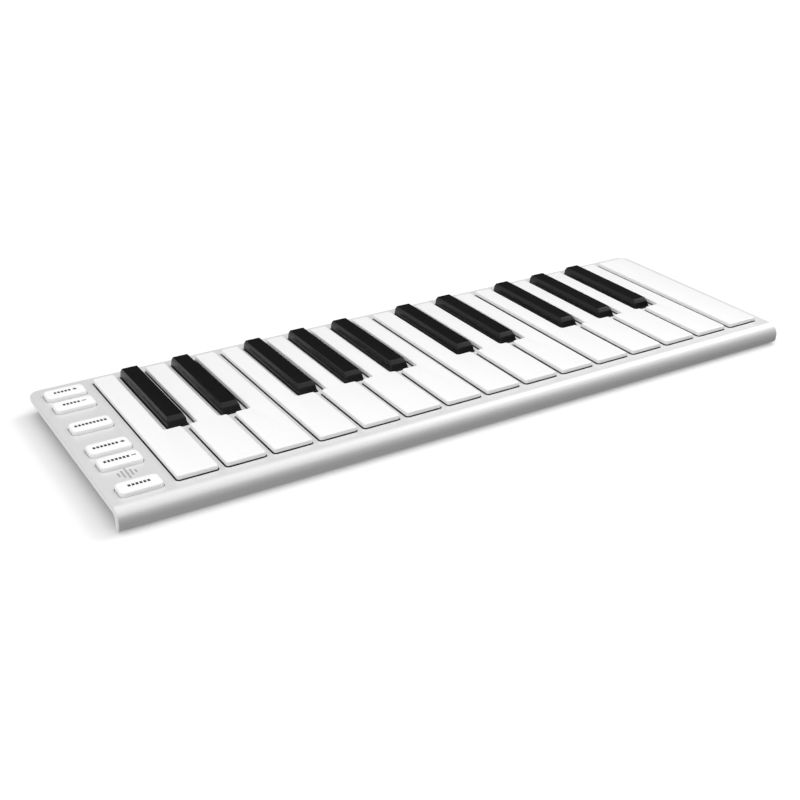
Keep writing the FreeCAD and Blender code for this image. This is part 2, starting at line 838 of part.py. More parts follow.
def spring_places():
    """Middle of every key at its rear."""
    return [(left + right) / 2 for left, right in key_widths()]


def build_spring_comb():
    """Spring-steel strip along the keys, with one bent finger under each of them."""
    body = new_body("spring_comb")
    thickness = size("spring_thickness")
    bottom = size("cover_bottom") + size("cover_thickness")
    rear = PIVOT_Y - size("rail_front") - size("comb_gap")
    foot = rear - size("spring_foot")
    tip = foot - size("spring_reach")
    tip_start = tip + size("spring_tip")
    tip_height = size("spring_tip_height")
    places = spring_places()
    half = size("spring_width") / 2
    left = places[0] - half
    right = places[-1] + half
    profile = new_sketch(body, "profile", "YZ_Plane", offset=f"{(left + right) / 2}")
    points = [
        (rear, bottom),
        (rear, bottom + thickness),
        (foot, bottom + thickness),
        (tip_start, tip_height),
        (tip, tip_height),
        (tip, tip_height - thickness),
        (tip_start, tip_height - thickness),
        (foot, bottom),
    ]
    draw_outline(profile, points, [0, 0, 1.2, 0.6, 0, 0, 0.6, 1.2])
    pad(profile, f"{right - left}", midplane=True)
    gaps = new_sketch(body, "gaps", offset=f"{tip_height + 1.0}")
    for here, following in zip(places, places[1:]):
        start = here + half
        draw_rectangle(gaps, start, tip - 1.0, following - half - start, foot - tip)
    pocket(gaps, f"{tip_height}", along_normal=False)


# ---------------------------------------------------------------- boards, contacts and felts

COVER_FLOOR = "Sizes.cover_bottom + Sizes.cover_thickness"
BOARD_TOP = "Sizes.board_bottom + Sizes.board_thickness"
KEY_BOARD_FRONT = FRONT + size("key_board_front")


def build_key_board():
    """Long circuit board under the keys, with room round each standoff."""
    body = new_body("key_board")
    sketch = new_sketch(body, "outline", offset="Sizes.board_bottom")
    left = KEYS_LEFT + size("key_board_inset")
    width = f"{ROW_LENGTH} - 2 * Sizes.key_board_inset"
    draw_bound_rectangle(sketch, left, KEY_BOARD_FRONT, width, "Sizes.key_board_depth")
    pad(sketch, "Sizes.board_thickness")
    rear = KEY_BOARD_FRONT + size("key_board_depth")
    under_board = [(x, y) for x, y in STANDOFFS if x > KEYS_LEFT and KEY_BOARD_FRONT < y < rear]
    holes = new_sketch(body, "standoff_holes", offset="Sizes.board_bottom")
    draw_circles(holes, under_board, "Sizes.standoff_radius + Sizes.standoff_room")
    pocket(holes, "Sizes.board_thickness", along_normal=True)


def build_board_pads():
    """Foam pads that hold both boards off the cover."""
    body = new_body("board_pads")
    sketch = new_sketch(body, "pads", offset="Sizes.cover_bottom + Sizes.cover_thickness")
    pad_width = size("pad_width")
    inset = size("pad_inset")
    pad_depth = size("key_board_depth") - 2 * inset
    places = [KEYS_LEFT + (slot + 0.5) * PITCH for slot in (1, 5, 8, 12, 13)]
    for x in places:
        draw_rectangle(sketch, x - pad_width / 2, KEY_BOARD_FRONT + inset, pad_width, pad_depth)
    left = LEFT + size("board_edge_inset") + size("button_pad_inset")
    for row in range(3):
        front = FRONT + size("button_pad_front") + row * size("button_pad_step")
        draw_rectangle(sketch, left, front, pad_width, pad_width)
    pad(sketch, "Sizes.board_bottom - Sizes.cover_bottom - Sizes.cover_thickness")


def build_contact_strip():
    """Silicone strip with one contact dome under every key."""
    body = new_body("contact_strip")
    base = new_sketch(body, "base", offset=BOARD_TOP)
    left = KEYS_LEFT + size("key_board_inset")
    front = FRONT + size("strip_inset")
    width = f"{ROW_LENGTH} - 2 * Sizes.key_board_inset"
    draw_bound_rectangle(base, left, front, width, "Sizes.strip_width")
    pad(base, "Sizes.strip_thickness")
    domes = new_sketch(body, "domes", offset=f"{BOARD_TOP} + Sizes.strip_thickness")
    draw_circles(domes, [(x, CONTACT_ROW) for x in spring_places()], "Sizes.dome_radius")
    raised = pad(domes, "Sizes.dome_height")
    raised.TaperAngle = -25.0


def build_felt(colour, bottom):
    """The strip of felt that the white or the black keys land on."""
    body = new_body(f"{colour}_stop_felt")
    sketch = new_sketch(body, "outline", offset=bottom)
    left = KEYS_LEFT + size("felt_inset")
    front = FRONT + size(f"{colour}_felt_front")
    width = f"{ROW_LENGTH} - 2 * Sizes.felt_inset"
    draw_bound_rectangle(sketch, left, front, width, f"Sizes.{colour}_felt_depth")
    pad(sketch, f"Sizes.{colour}_felt_thickness")


def build_button_board():
    """Circuit board under the buttons."""
    body = new_body("button_board")
    sketch = new_sketch(body, "outline", offset="Sizes.board_bottom")
    left = LEFT + size("board_edge_inset")
    front = FRONT + size("button_board_front")
    draw_bound_rectangle(sketch, left, front, "Sizes.button_board_width", "Sizes.button_board_depth")
    pad(sketch, "Sizes.board_thickness")
    places = [(x, y) for x, y in STANDOFFS if x < KEYS_LEFT]
    holes = new_sketch(body, "standoff_notches", offset="Sizes.board_bottom")
    draw_circles(holes, places, "Sizes.standoff_radius + Sizes.standoff_room")
    pocket(holes, "Sizes.board_thickness", along_normal=True)


def build_button_switches():
    """A small square switch with a round stem under every button."""
    body = new_body("button_switches")
    side = size("switch_side")
    half_depth = size("button_depth") / 2
    rows = [front + half_depth for front in BUTTON_FRONTS.values()]
    cases = new_sketch(body, "cases", offset=BOARD_TOP)
    for y in rows:
        draw_rectangle(cases, BUTTON_X - side / 2, y - side / 2, side, side, size("switch_round"))
    pad(cases, "Sizes.switch_height")
    stems = new_sketch(body, "stems", offset=f"{BOARD_TOP} + Sizes.switch_height")
    draw_circles(stems, [(BUTTON_X, y) for y in rows], "Sizes.switch_stem_radius")
    pad(stems, "Sizes.switch_stem_height")


def build_controller_chip():
    """Controller chip on the button board, between two switches."""
    chip = doc.addObject("Part::Box", "controller_chip")
    chip.Label = "controller_chip"
    for edge in ("Length", "Width"):
        chip.setExpression(edge, "Sizes.chip_side")
    chip.setExpression("Height", "Sizes.chip_thickness")
    half = size("chip_side") / 2
    height = size("board_bottom") + size("board_thickness")
    front = BUTTON_FRONTS["modulation"] - size("chip_setback") - half
    chip.Placement.Base = Vector(BUTTON_X - half, front, height)
    nodes.append(chip)


def build_ribbon():
    """Flat ribbon that joins the button board to the key board."""
    ribbon = doc.addObject("Part::Box", "board_ribbon")
    ribbon.Label = "board_ribbon"
    left = LEFT + size("board_edge_inset") + size("button_board_width") - size("ribbon_lap")
    right = KEYS_LEFT + size("key_board_inset") + size("ribbon_lap")
    ribbon.Length = right - left
    ribbon.setExpression("Width", "Sizes.ribbon_width")
    ribbon.setExpression("Height", "Sizes.ribbon_thickness")
    height = size("board_bottom") + size("board_thickness")
    ribbon.Placement.Base = Vector(left, FRONT + size("ribbon_front"), height)
    nodes.append(ribbon)


def build_usb_socket():
    """Metal shell of the USB socket, set in the cover's rear wall."""
    body = new_body("usb_socket")
    rear = REAR - size("cover_rear_inset") - size("usb_recess")
    sketch = new_sketch(body, "shell", "XZ_Plane", offset=f"{-rear}")
    width = size("usb_width")
    height = size("usb_height")
    bottom = size("board_bottom") + size("board_thickness")
    draw_rectangle(sketch, BUTTON_X - width / 2, bottom, width, height, size("usb_round"))
    pad(sketch, "Sizes.usb_depth")
    wall = size("usb_wall")
    cavity = new_sketch(body, "cavity", "XZ_Plane", offset=f"{-rear}")
    left = BUTTON_X - width / 2 + wall
    inner_width = width - 2 * wall
    inner_height = height - 2 * wall
    draw_rectangle(cavity, left, bottom + wall, inner_width, inner_height, size("usb_cavity_round"))
    pocket(cavity, "Sizes.usb_depth - Sizes.usb_wall", along_normal=True)
    return rear


def build_usb_tongue(rear):
    """Plastic tongue inside the USB socket."""
    plate = doc.addObject("Part::Box", "usb_tongue")
    plate.Label = "usb_tongue"
    plate.setExpression("Length", "Sizes.tongue_plate_width")
    plate.setExpression("Width", "Sizes.tongue_plate_length")
    plate.setExpression("Height", "Sizes.tongue_plate_height")
    back_wall = rear - size("usb_depth") + size("usb_wall")
    left = BUTTON_X - size("tongue_plate_width") / 2
    middle = size("board_bottom") + size("board_thickness") + size("usb_height") / 2
    plate.Placement.Base = Vector(left, back_wall, middle)
    nodes.append(plate)


# ---------------------------------------------------------------- buttons


def build_button(name):
    """Button: rounded cap through the deck and a flange that holds it in."""
    body = new_body(f"{name}_button")
    width = size("button_width")
    depth = size("button_depth")
    left = BUTTON_X - width / 2
    front = BUTTON_FRONTS[name]
    cap = new_sketch(body, "cap", offset="Sizes.flange_bottom")
    draw_rectangle(cap, left, front, width, depth, size("button_round"))
    pad(cap, "Sizes.button_top - Sizes.flange_bottom")
    top = size("button_top")
    dress(body, "Fillet", "top_edge", "Sizes.button_edge", lambda edge: flat_at(edge, top))
    reach = size("flange_reach")
    flange = new_sketch(body, "flange", offset="Sizes.flange_bottom")
    wide = width + 2 * reach
    deep = depth + 2 * reach
    draw_rectangle(flange, left - reach, front - reach, wide, deep, size("button_round") + reach)
    pad(flange, "Sizes.flange_thickness")


# ---------------------------------------------------------------- build, check and write


def build_all():
    build_top_shell()
    build_bottom_cover()
    build_feet()
    build_standoffs()
    build_cover_screws()
    for slot in range(WHITE_COUNT):
        build_white_key(slot)
    for index in range(len(BLACKS)):
        build_black_key(index)
    build_pivot_rod()
    build_hinge_rail()
    build_spring_comb()
    build_key_board()
    build_board_pads()
    build_contact_strip()
    build_felt("white", COVER_FLOOR)
    build_felt("black", BOARD_TOP)
    build_button_board()
    build_button_switches()
    build_controller_chip()
    build_ribbon()
    usb_rear = build_usb_socket()
    build_usb_tongue(usb_rear)
    for name in BUTTONS:
        build_button(name)


def check_document():
    """Stop if any feature failed or any part is empty or invalid."""
    for item in doc.Objects:
        if "Invalid" in item.State or "Error" in item.State:
            raise RuntimeError(f"{item.Name} failed: {item.State}")
    for node in nodes:
        if node.Shape.isNull() or not node.Shape.isValid():
            raise RuntimeError(f"{node.Label} has no valid shape")


def write_parts():
    os.makedirs("parts", exist_ok=True)
    for node in nodes:
        node.Shape.exportStep(f"parts/{node.Label}.step")
    print(f"wrote {len(nodes)} parts")


build_all()
doc.recompute()
check_document()
write_parts()
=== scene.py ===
import json
import math

import bmesh
import bpy
from mathutils import Matrix, Vector


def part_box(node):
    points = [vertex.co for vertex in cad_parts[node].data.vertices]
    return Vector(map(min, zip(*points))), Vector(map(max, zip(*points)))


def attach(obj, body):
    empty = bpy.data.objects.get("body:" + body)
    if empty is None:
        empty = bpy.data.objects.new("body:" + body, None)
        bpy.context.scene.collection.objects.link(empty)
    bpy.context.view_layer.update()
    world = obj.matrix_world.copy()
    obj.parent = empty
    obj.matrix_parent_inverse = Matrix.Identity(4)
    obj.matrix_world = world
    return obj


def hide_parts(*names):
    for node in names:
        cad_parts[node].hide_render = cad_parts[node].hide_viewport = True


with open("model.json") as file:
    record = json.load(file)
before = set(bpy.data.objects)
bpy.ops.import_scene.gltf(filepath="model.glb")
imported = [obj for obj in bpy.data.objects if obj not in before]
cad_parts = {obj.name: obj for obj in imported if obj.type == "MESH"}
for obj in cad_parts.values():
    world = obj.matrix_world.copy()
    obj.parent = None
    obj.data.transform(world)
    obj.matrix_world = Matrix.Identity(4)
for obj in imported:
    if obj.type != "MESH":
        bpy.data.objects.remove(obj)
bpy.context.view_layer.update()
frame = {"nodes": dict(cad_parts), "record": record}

# Slim 25-key MIDI keyboard.
# The keys, buttons, shell and feet are rebuilt here as clean meshes round the CAD frame.
# Everything else, such as the cover, rod, rail, springs and boards, is the CAD node itself.

MM = 0.001
CORNER_STEPS = 7
SLACK = 0.01 * MM

# Sizes that the shell and the keys share with the CAD model, in metres.
KEY_GAP = 0.5 * MM
TAIL_RIB = 2.3 * MM
WINDOW_FRONT = 11.2 * MM
WINDOW_REAR = 6.1 * MM
BLACK_WINDOW_FRONT = 59.2 * MM
WHITE_CAP_BOTTOM = 11.4 * MM
WINDOW_ROUND = 1.9 * MM
NOTCH_ROUND = 0.8 * MM
BLACK_ROUND = 0.4 * MM
BLACK_WINDOW_ROUND = 1.3 * MM
KEY_UNDERSIDE = 7.0 * MM
KEY_HOLLOW = 3.9 * MM
HOLLOW_REAR_INSET = 8.5 * MM
CONTACT_INSET = 82.5 * MM
BUTTON_GAP = 0.35 * MM
BUTTON_FLANGE = 0.9 * MM
DECK_THICKNESS = 3.3 * MM
LIP_BEND = 6.2 * MM
SHELL_ROUND = 6.0 * MM
TONGUE_REACH = 1.6 * MM
HUB_RADIUS = 1.85 * MM
INK_FILM = 0.03 * MM
ROD_BORE = 1.05 * MM
PIVOT_INSET = 4.7 * MM
PIVOT_HEIGHT = 5.4 * MM

NODES = frame["nodes"]
WHITE_KEYS = sorted((n for n in NODES if n.endswith("_white_key")), key=lambda n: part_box(n)[0].x)
BLACK_KEYS = sorted((n for n in NODES if n.endswith("_black_key")), key=lambda n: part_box(n)[0].x)
BUTTONS = sorted((n for n in NODES if n.endswith("_button")), key=lambda n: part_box(n)[0].y)
BODY_OF = {
    node: body for body, members in frame["record"]["behaviour"]["bodies"].items() for node in members
}
SLOT_OF = {part["node"]: part["material_slot"] for part in frame["record"]["subparts"]}

SHELL_LOW, SHELL_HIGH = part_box("top_shell")
DECK_TOP = SHELL_HIGH.z
DECK_UNDERSIDE = DECK_TOP - DECK_THICKNESS
WINDOW_FRONT_Y = SHELL_LOW.y + WINDOW_FRONT
WINDOW_REAR_Y = SHELL_HIGH.y - WINDOW_REAR
BLACK_FRONT_Y = SHELL_LOW.y + BLACK_WINDOW_FRONT
PIVOT_Y = SHELL_HIGH.y - PIVOT_INSET
CONTACT_Y = SHELL_LOW.y + CONTACT_INSET
HOLLOW_REAR_Y = PIVOT_Y - HOLLOW_REAR_INSET


# ---------------------------------------------------------------- outlines and skins


def rounded(points, radii, steps=CORNER_STEPS, closed=True):
    """Points of an outline whose corners are arcs. Every corner gives steps + 1 points."""
    corners = [Vector(point) for point in points]
    count = len(corners)
    result = []
    for index, corner in enumerate(corners):
        at_end = not closed and index in (0, count - 1)
        radius = radii[index]
        if at_end or radius <= 0:
            result.append(corner)
            continue
        before = (corners[index - 1] - corner).normalized()
        after = (corners[(index + 1) % count] - corner).normalized()
        half_turn = before.angle(after) / 2
        middle = (before + after).normalized()
        centre = corner + middle * (radius / math.sin(half_turn))
        start = corner + before * (radius / math.tan(half_turn)) - centre
        end = corner + after * (radius / math.tan(half_turn)) - centre
        sweep = start.angle_signed(end) if start.length and end.length else 0.0
        for step in range(steps + 1):
            turn = Matrix.Rotation(-sweep * step / steps, 2)
            result.append(centre + turn @ start)
    return result


def rectangle(left, front, right, rear):
    return [(left, front), (right, front), (right, rear), (left, rear)]


def new_piece(name, build):
    """A mesh object in the model's own frame, filled by build(bmesh)."""
    mesh = bpy.data.meshes.new(name)
    shape = bmesh.new()
    build(shape)
    bmesh.ops.recalc_face_normals(shape, faces=shape.faces)
    shape.to_mesh(mesh)
    shape.free()
    piece = bpy.data.objects.new(name, mesh)
    bpy.context.scene.collection.objects.link(piece)
    return piece


def smooth_by_angle(mesh, degrees=35.0):
    """Smooth shading, with an edge kept crisp where the surface turns by more than the angle."""
    for polygon in mesh.polygons:
        polygon.use_smooth = True
    mesh.set_sharp_from_angle(angle=math.radians(degrees))


def add_skin(shape, rings):
    """Quads between rings of equal length, closed at both ends."""
    loops = [[shape.verts.new(point) for point in ring] for ring in rings]
    for lower, upper in zip(loops, loops[1:]):
        for index in range(len(lower)):
            following = (index + 1) % len(lower)
            shape.faces.new((lower[index], lower[following], upper[following], upper[index]))
    shape.faces.new(loops[0][::-1])
    shape.faces.new(loops[-1])


def lift(ring, height):
    return [(point.x, point.y, height) for point in ring]


def add_bar(shape, profile, left, right, edge):
    """A bar along X with a given section in Y and Z, its end edges softened."""
    ends = ((left, edge), (left + edge, 0.0), (right - edge, 0.0), (right, edge))
    middle = sum((Vector(p) for p in profile), Vector((0, 0))) / len(profile)
    rings = []
    for x, inset in ends:
        ring = []
        for point in profile:
            pull = (middle - Vector(point)).normalized() * inset
            ring.append((x, point[0] + pull.x, point[1] + pull.y))
        rings.append(ring)
    add_skin(shape, rings)


def circle(centre, radius, steps):
    turns = [math.tau * step / steps for step in range(steps)]
    return [(centre[0] + radius * math.cos(a), centre[1] + radius * math.sin(a)) for a in turns]


def add_hub(shape, left, right):
    """The tube at the rear of a key that turns on the pivot rod."""
    steps = 40
    outer = circle((PIVOT_Y, PIVOT_HEIGHT), HUB_RADIUS, steps)
    inner = circle((PIVOT_Y, PIVOT_HEIGHT), ROD_BORE, steps)
    rings = []
    for x, section in ((left, inner), (left, outer), (right, outer), (right, inner)):
        rings.append([shape.verts.new((x, y, z)) for y, z in section])
    for ring, following in zip(rings, rings[1:] + rings[:1]):
        for index in range(steps):
            after = (index + 1) % steps
            shape.faces.new((ring[index], ring[after], following[after], following[index]))


def add_key_back(shape, left, right, underside):
    """Arm and hub that carry a key on the pivot rod."""
    side_gap = 0.5 * MM
    arm_length = 8.0 * MM
    arm_bottom = 4.9 * MM
    arm_top = underside + 0.25 * MM
    root = 1.3 * MM
    edge = 0.15 * MM
    front = PIVOT_Y - arm_length
    profile = [
        (front, arm_bottom),
        (PIVOT_Y - root, PIVOT_HEIGHT - root),
        (PIVOT_Y - root, PIVOT_HEIGHT + root),
        (WINDOW_REAR_Y - KEY_GAP, arm_top),
        (front, arm_top),
    ]
    add_bar(shape, profile, left + side_gap, right - side_gap, edge)
    add_hub(shape, left + side_gap, right - side_gap)


def add_tongue(shape, left, right, front, underside):
    """Tongue that hooks under the deck in front of a key."""
    half = 3.0 * MM
    drop = 0.35 * MM
    thickness = 0.8 * MM
    root = 2.4 * MM
    corner = 0.2 * MM
    edge = 0.1 * MM
    middle = (left + right) / 2
    bottom = underside - drop
    section = rectangle(front - TONGUE_REACH, bottom, front + root, bottom + thickness)
    section = rounded(section, [corner] * 4, steps=3)
    add_bar(shape, section, middle - half, middle + half, edge)


def add_plunger(shape, middle, roof):
    """Post inside a key that works its contact dome."""
    half_width = 1.5 * MM
    half_depth = 0.8 * MM
    corner = 0.2 * MM
    bottom = 6.9 * MM
    overlap = 0.2 * MM
    outline = rectangle(
        middle - half_width, CONTACT_Y - half_depth, middle + half_width, CONTACT_Y + half_depth
    )
    ring = rounded(outline, [corner] * 4, 3)
    add_skin(shape, [lift(ring, bottom), lift(ring, roof + overlap)])


# ---------------------------------------------------------------- keys


def white_sides(name):
    """Left and right side of a white key: of its wide front, then of its tail."""
    low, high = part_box(name)
    clear = 2 * KEY_GAP + TAIL_RIB
    tail_left, tail_right = low.x, high.x
    for other in BLACK_KEYS:
        black_low, black_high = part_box(other)
        if low.x < black_high.x + clear < high.x:
            tail_left = black_high.x + clear
        if low.x < black_low.x - clear < high.x:
            tail_right = black_low.x - clear
    return low.x, high.x, tail_left, tail_right


def white_outline(sides, inset, rear=None):
    """Outline of a white key, or of its window with a negative inset."""
    left, right, tail_left, tail_right = sides
    front = WINDOW_FRONT_Y + KEY_GAP + inset
    notch = BLACK_FRONT_Y - TAIL_RIB - KEY_GAP - inset
    rear = WINDOW_REAR_Y - KEY_GAP - inset if rear is None else rear
    outside = max(WINDOW_ROUND - KEY_GAP - inset, 0.15 * MM)
    inside = NOTCH_ROUND + KEY_GAP + inset
    points = [(left + inset, front), (right - inset, front)]
    radii = [outside, outside]
    if tail_right < right:
        points += [(right - inset, notch), (tail_right - inset, notch)]
        radii += [outside, inside]
    points += [(tail_right - inset, rear), (tail_left + inset, rear)]
    radii += [outside, outside]
    if tail_left > left:
        points += [(tail_left + inset, notch), (left + inset, notch)]
        radii += [inside, outside]
    return rounded(points, radii)


def edge_profile(top, radius, steps=6):
    """Inset and height of the rings that round a cap's top edge."""
    turns = [math.pi / 2 * step / steps for step in range(steps + 1)]
    return [(radius * (1 - math.cos(a)), top - radius * (1 - math.sin(a))) for a in turns]


def build_white_key(name):
    low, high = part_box(name)
    sides = white_sides(name)
    underside = KEY_UNDERSIDE
    skirt = 0.8 * MM
    wall = 2.0 * MM
    hollow = KEY_HOLLOW
    edge = 0.75 * MM
    soft = 0.08 * MM
    top = high.z

    def build(shape):
        rings = [
            lift(white_outline(sides, wall, HOLLOW_REAR_Y), underside + hollow),
            lift(white_outline(sides, wall, HOLLOW_REAR_Y), underside),
            lift(white_outline(sides, skirt), underside),
            lift(white_outline(sides, skirt), WHITE_CAP_BOTTOM),
            lift(white_outline(sides, soft), WHITE_CAP_BOTTOM),
            lift(white_outline(sides, 0.0), WHITE_CAP_BOTTOM + soft),
        ]
        for inset, height in edge_profile(top, edge):
            rings.append(lift(white_outline(sides, inset), height))
        add_skin(shape, rings)
        add_plunger(shape, (sides[2] + sides[3]) / 2, underside + hollow)
        add_key_back(shape, sides[2], sides[3], underside)
        add_tongue(shape, sides[0], sides[1], WINDOW_FRONT_Y + KEY_GAP, underside)

    return new_piece(f"{name}_cap", build)


# How far a black key draws in at its sides, front and rear, over its slant and then its bevel.
SLANT = (0.35 * MM, 1.7 * MM, 0.35 * MM)
BEVEL = (0.6 * MM, 1.9 * MM, 0.9 * MM)


def black_ring(name, amount, height):
    """Outline of a black key, drawn in by its slant up to an amount of 1 and by its bevel past it."""
    low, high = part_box(name)
    slant = min(amount, 1.0)
    bevel = max(amount - 1.0, 0.0)
    side, nose, heel = (slant * lean + bevel * cut for lean, cut in zip(SLANT, BEVEL))
    front = BLACK_FRONT_Y + KEY_GAP + nose
    rear = WINDOW_REAR_Y - KEY_GAP - heel
    outline = rectangle(low.x + side, front, high.x - side, rear)
    return lift(rounded(outline, [BLACK_ROUND] * 4), height)


def build_black_key(name):
    low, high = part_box(name)
    underside = KEY_UNDERSIDE
    wall = 1.5 * MM
    hollow = KEY_HOLLOW
    hollow_round = 0.4 * MM
    base_top = 11.0
    bevel_drop = 1.7
    base_soft, shoulder_soft, top_soft = 0.5, 0.45, 0.25
    top = high.z / MM
    shoulder = top - bevel_drop
    # Amount of draw against height in millimetres, with the shoulder and the top edge softened.
    profile = [(0.0, base_top - 1.0), (0.0, base_top), (1.0, shoulder), (2.0, top), (2.5, top)]
    profile = rounded(profile, [0, base_soft, shoulder_soft, top_soft, 0], 5, closed=False)

    def build(shape):
        front = BLACK_FRONT_Y + KEY_GAP + wall
        inner = rectangle(low.x + wall, front, high.x - wall, HOLLOW_REAR_Y)
        inner = rounded(inner, [hollow_round] * 4)
        rings = [lift(inner, underside + hollow), lift(inner, underside)]
        rings.append(black_ring(name, 0.0, underside))
        for point in profile[:-1]:
            rings.append(black_ring(name, point.x, point.y * MM))
        add_skin(shape, rings)
        add_plunger(shape, (low.x + high.x) / 2, underside + hollow)
        add_key_back(shape, low.x, high.x, underside)
        add_tongue(shape, low.x, high.x, BLACK_FRONT_Y + KEY_GAP, underside)

    return new_piece(f"{name}_cap", build)


# ---------------------------------------------------------------- buttons


def button_ring(name, inset, height):
    """Outline of a button's cap; a negative inset gives its flange."""
    low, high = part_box(name)
    reach = BUTTON_FLANGE
    corner = 2.6 * MM
    left = low.x + reach + inset
    right = high.x - reach - inset
    front = low.y + reach + inset
    rear = high.y - reach - inset
    return lift(rounded(rectangle(left, front, right, rear), [corner - inset] * 4), height)


def build_button(name):
    low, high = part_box(name)
    reach = BUTTON_FLANGE
    flange = 0.7 * MM
    edge = 0.9 * MM
    crown = 0.12 * MM
    soft = 0.15 * MM
    top = high.z - INK_FILM

    def build(shape):
        rings = [
            button_ring(name, -reach + soft, low.z),
            button_ring(name, -reach, low.z + soft),
            button_ring(name, -reach, low.z + flange - soft),
            button_ring(name, -reach + soft, low.z + flange),
            button_ring(name, 0.0, low.z + flange),
        ]
        for inset, height in edge_profile(top - crown, edge):
            rings.append(button_ring(name, inset, height))
        for inset, rise in ((1.4 * MM, 0.55), (2.1 * MM, 0.85), (2.5 * MM, 1.0)):
            rings.append(button_ring(name, inset, top - crown + crown * rise))
        add_skin(shape, rings)

    return new_piece(f"{name}_cap", build)


# ---------------------------------------------------------------- shell


def shell_windows(spare):
    """Outlines of every window in the deck, widened by a spare margin."""
    windows = []
    for name in WHITE_KEYS:
        windows.append(white_outline(white_sides(name), -KEY_GAP - spare))
    for name in BLACK_KEYS:
        low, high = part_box(name)
        gap = KEY_GAP + spare
        sides = rectangle(low.x - gap, BLACK_FRONT_Y - spare, high.x + gap, WINDOW_REAR_Y + spare)
        windows.append(rounded(sides, [BLACK_WINDOW_ROUND + spare] * 4))
    gap = BUTTON_GAP + spare
    for name in BUTTONS:
        ring = button_ring(name, -gap, 0.0)
        windows.append([Vector((x, y)) for x, y, _ in ring])
    return windows


RIM = 0.45 * MM
TIP_BEVEL = 0.9 * MM
WINDOW_EDGE = 0.2 * MM
LIP_ANGLE = math.radians(100.0)
BEND_START_Y = SHELL_LOW.y + LIP_BEND
LIP_STRAIGHT = (DECK_TOP - LIP_BEND * (1 - math.cos(LIP_ANGLE)) - SHELL_LOW.z) / math.sin(LIP_ANGLE)
LIP_LENGTH = LIP_BEND * LIP_ANGLE + LIP_STRAIGHT
LIP_STRIPS = 36
WELD = 2e-6


def lip_point(run, depth):
    """Y and Z of a point of the bent lip, by its run past the bend's start and its depth."""
    turn = min(run / LIP_BEND, LIP_ANGLE)
    past = max(run - LIP_BEND * LIP_ANGLE, 0.0)
    radius = LIP_BEND - depth
    y = BEND_START_Y - radius * math.sin(turn) - past * math.cos(turn)
    z = DECK_TOP - LIP_BEND + radius * math.cos(turn) - past * math.sin(turn)
    return y, z


def lip_section(margin):
    """Closed section of the lip, drawn in from both of its faces by a margin."""
    runs = [LIP_BEND * LIP_ANGLE * strip / LIP_STRIPS for strip in range(LIP_STRIPS + 1)]
    outer = [lip_point(run, margin) for run in [*runs, LIP_LENGTH - TIP_BEVEL]]
    inner = [lip_point(run, DECK_THICKNESS - margin) for run in [*runs, LIP_LENGTH - RIM]]
    tip = [
        lip_point(LIP_LENGTH - margin, max(RIM, margin)),
        lip_point(LIP_LENGTH - margin, DECK_THICKNESS - max(RIM, margin)),
    ]
    return outer + tip + inner[::-1]


def add_lip(shape):
    """The bent lip as long strips from end to end, with a chamfer round both ends."""
    left, right = SHELL_LOW.x, SHELL_HIGH.x
    stations = [(left, RIM), (left + RIM, 0.0), (right - RIM, 0.0), (right, RIM)]
    rings = []
    for x, margin in stations:
        rings.append([shape.verts.new((x, y, z)) for y, z in lip_section(margin)])
    count = len(rings[0])
    polished = []
    for band, (ring, following) in enumerate(zip(rings, rings[1:])):
        for index in range(count - 1):
            face = shape.faces.new((ring[index], ring[index + 1], following[index + 1], following[index]))
            at_tip = LIP_STRIPS + 1 <= index <= LIP_STRIPS + 3 and index != LIP_STRIPS + 2
            if band != 1 or at_tip:
                polished.append(face)
    for ring in (rings[0], rings[-1]):
        for index in range(count // 2 - 1):
            opposite = count - 1 - index
            face = shape.faces.new((ring[index], ring[index + 1], ring[opposite - 1], ring[opposite]))
            polished.append(face)
    return polished


def fill_plane(outlines, height):
    """Triangles between an outer outline and the holes in it, as points and index triples."""
    curve = bpy.data.curves.new("plane_fill", "CURVE")
    curve.dimensions = "2D"
    curve.fill_mode = "BOTH"
    for outline in outlines:
        spline = curve.splines.new("POLY")
        spline.points.add(len(outline) - 1)
        spline.use_cyclic_u = True
        for place, point in zip(spline.points, outline):
            place.co = (point[0], point[1], 0.0, 1.0)
    carrier = bpy.data.objects.new("plane_fill", curve)
    bpy.context.scene.collection.objects.link(carrier)
    bpy.context.view_layer.update()
    evaluated = carrier.evaluated_get(bpy.context.evaluated_depsgraph_get())
    mesh = bpy.data.meshes.new_from_object(evaluated)
    points = [(vertex.co.x, vertex.co.y, height) for vertex in mesh.vertices]
    faces = [tuple(polygon.vertices) for polygon in mesh.polygons]
    bpy.data.objects.remove(carrier)
    bpy.data.meshes.remove(mesh)
    bpy.data.curves.remove(curve)
    return points, faces


def deck_outline(margin):
    """Outline of the flat deck behind the bend."""
    outside = rectangle(SHELL_LOW.x + margin, BEND_START_Y, SHELL_HIGH.x - margin, SHELL_HIGH.y - margin)
    return rounded(outside, [0, 0, SHELL_ROUND - margin, SHELL_ROUND - margin], 16)


